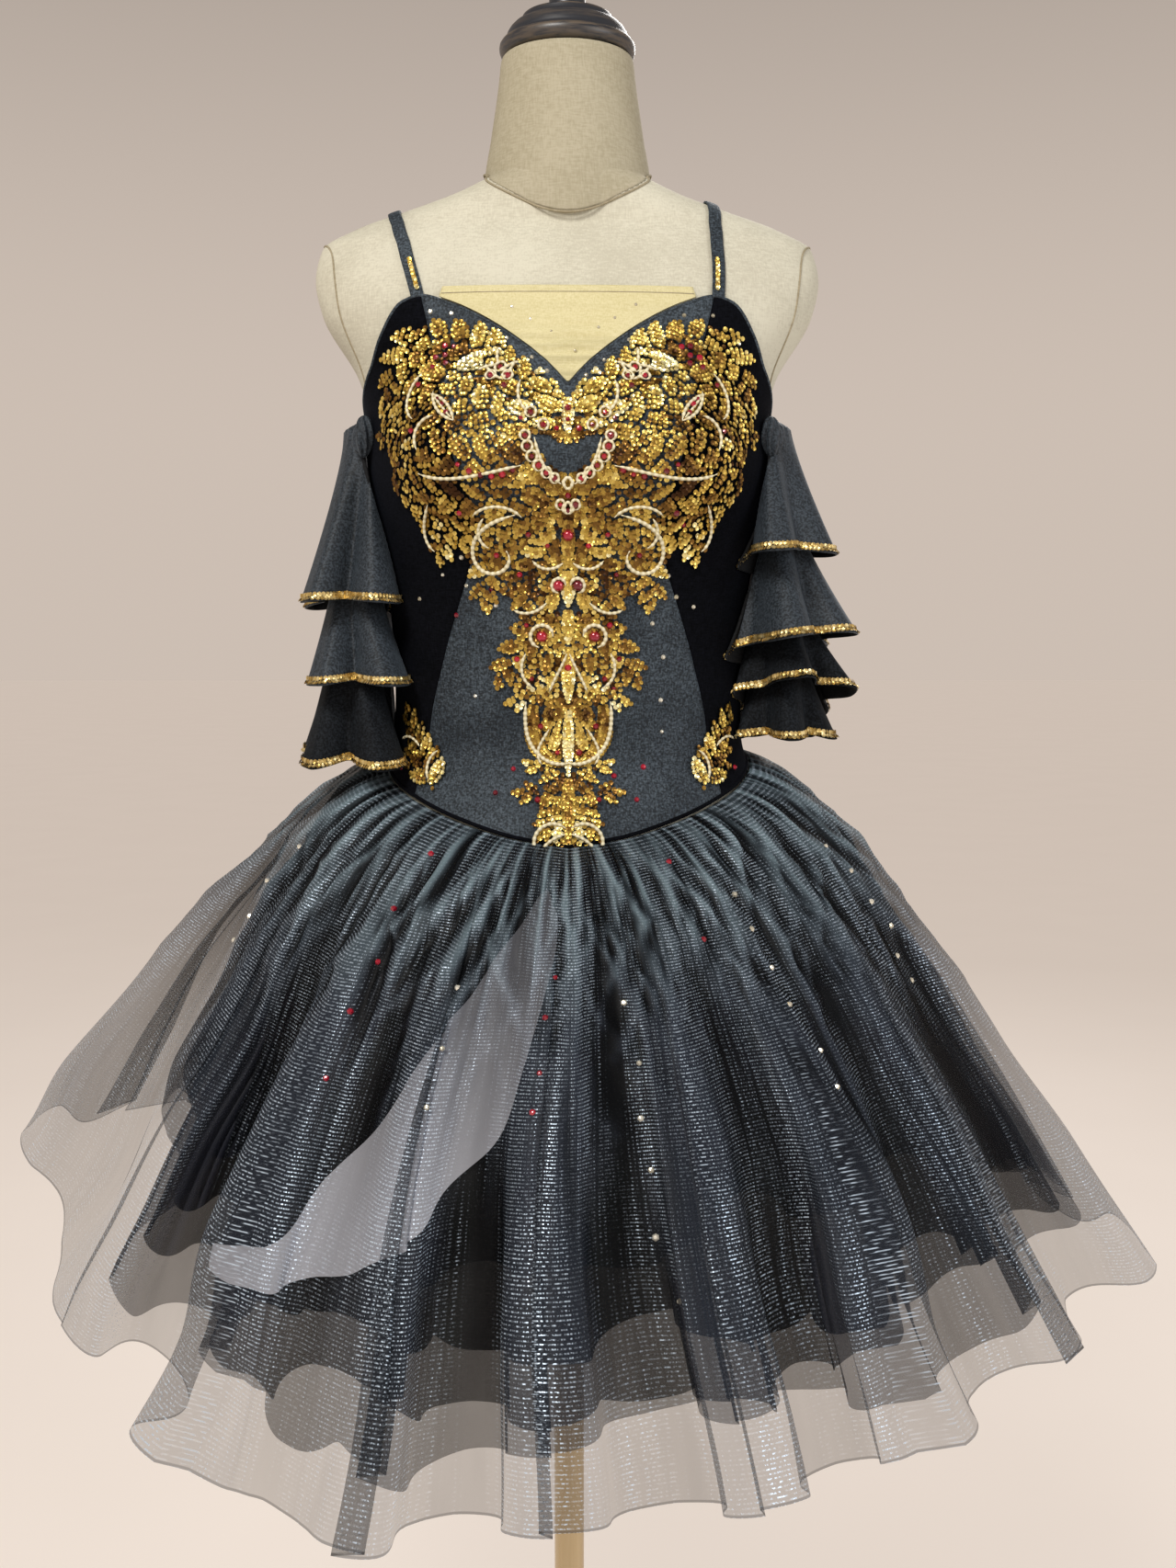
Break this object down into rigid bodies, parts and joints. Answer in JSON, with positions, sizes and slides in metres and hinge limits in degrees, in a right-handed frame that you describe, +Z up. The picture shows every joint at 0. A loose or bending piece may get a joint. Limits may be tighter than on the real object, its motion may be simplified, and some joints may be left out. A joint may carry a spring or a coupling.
{
  "type": "figure skating dress on a dress form",
  "caption": "Skating dress with a sequinned strap bodice, tiered flounce sleeves and a layered tulle skirt, worn by a limbless dress form on a pole stand.",
  "frame": {"origin": "centre of the stand foot's underside, on the floor", "axes": "+Z up along the stand's pole; the dress's front faces -Y; +X is to the viewer's right, which is the wearer's left"},
  "size_m": [0.8603, 0.8436, 1.616],
  "materials": {
    "form_linen": "ecru linen stretched over a smooth form",
    "cap_ebony": "dark turned wood, satin, worn at the rim",
    "stand_brass": "brushed brass-toned metal",
    "bodice_jersey": "charcoal stretch jersey with a fine grain",
    "bodice_velvet": "deep black velvet",
    "insert_mesh": "nude stretch mesh",
    "sleeve_crepe": "charcoal crepe",
    "sleeve_braid": "two rows of gold sequins",
    "applique_sequins": "overlapping gold and bronze sequins",
    "applique_cord": "pale gold couched cord",
    "stone_red": "faceted dark red stones",
    "stone_pale": "faceted pale stones",
    "skirt_net": "see-through net with silver glints in vertical streaks",
    "skirt_tulle": "black tulle",
    "skirt_petal_sheer": "pale lilac-grey sheer"
  },
  "bodies": {
    "root": {"form_torso": "form_linen", "form_neck": "form_linen", "neck_cap": "cap_ebony", "neck_knob": "cap_ebony", "stand_flange": "stand_brass", "stand_pole": "stand_brass", "stand_foot": "stand_brass", "bodice_front": "bodice_jersey", "bodice_side_left": "bodice_velvet", "bodice_side_right": "bodice_velvet", "bodice_back_left": "bodice_velvet", "bodice_back_right": "bodice_velvet", "bodice_insert": "insert_mesh", "strap_left": "bodice_jersey", "strap_right": "bodice_jersey", "applique_bust": "applique_sequins", "applique_stem": "applique_sequins", "applique_hip_left": "applique_sequins", "applique_hip_right": "applique_sequins", "skirt_net_overlay": "skirt_net", "skirt_tulle_1": "skirt_tulle", "skirt_tulle_2": "skirt_tulle", "skirt_tulle_3": "skirt_tulle", "skirt_lining": "skirt_tulle", "skirt_petal": "skirt_petal_sheer", "sleeve_left_base": "sleeve_crepe", "sleeve_left_tier_1": "sleeve_crepe", "sleeve_left_braid_1": "sleeve_braid", "sleeve_left_tier_2": "sleeve_crepe", "sleeve_left_braid_2": "sleeve_braid", "sleeve_left_tier_3": "sleeve_crepe", "sleeve_left_braid_3": "sleeve_braid", "sleeve_right_base": "sleeve_crepe", "sleeve_right_tier_1": "sleeve_crepe", "sleeve_right_braid_1": "sleeve_braid", "sleeve_right_tier_2": "sleeve_crepe", "sleeve_right_braid_2": "sleeve_braid", "sleeve_right_tier_3": "sleeve_crepe", "sleeve_right_braid_3": "sleeve_braid", "sleeve_right_tier_4": "sleeve_crepe", "sleeve_right_braid_4": "sleeve_braid"}
  },
  "joints": []
}
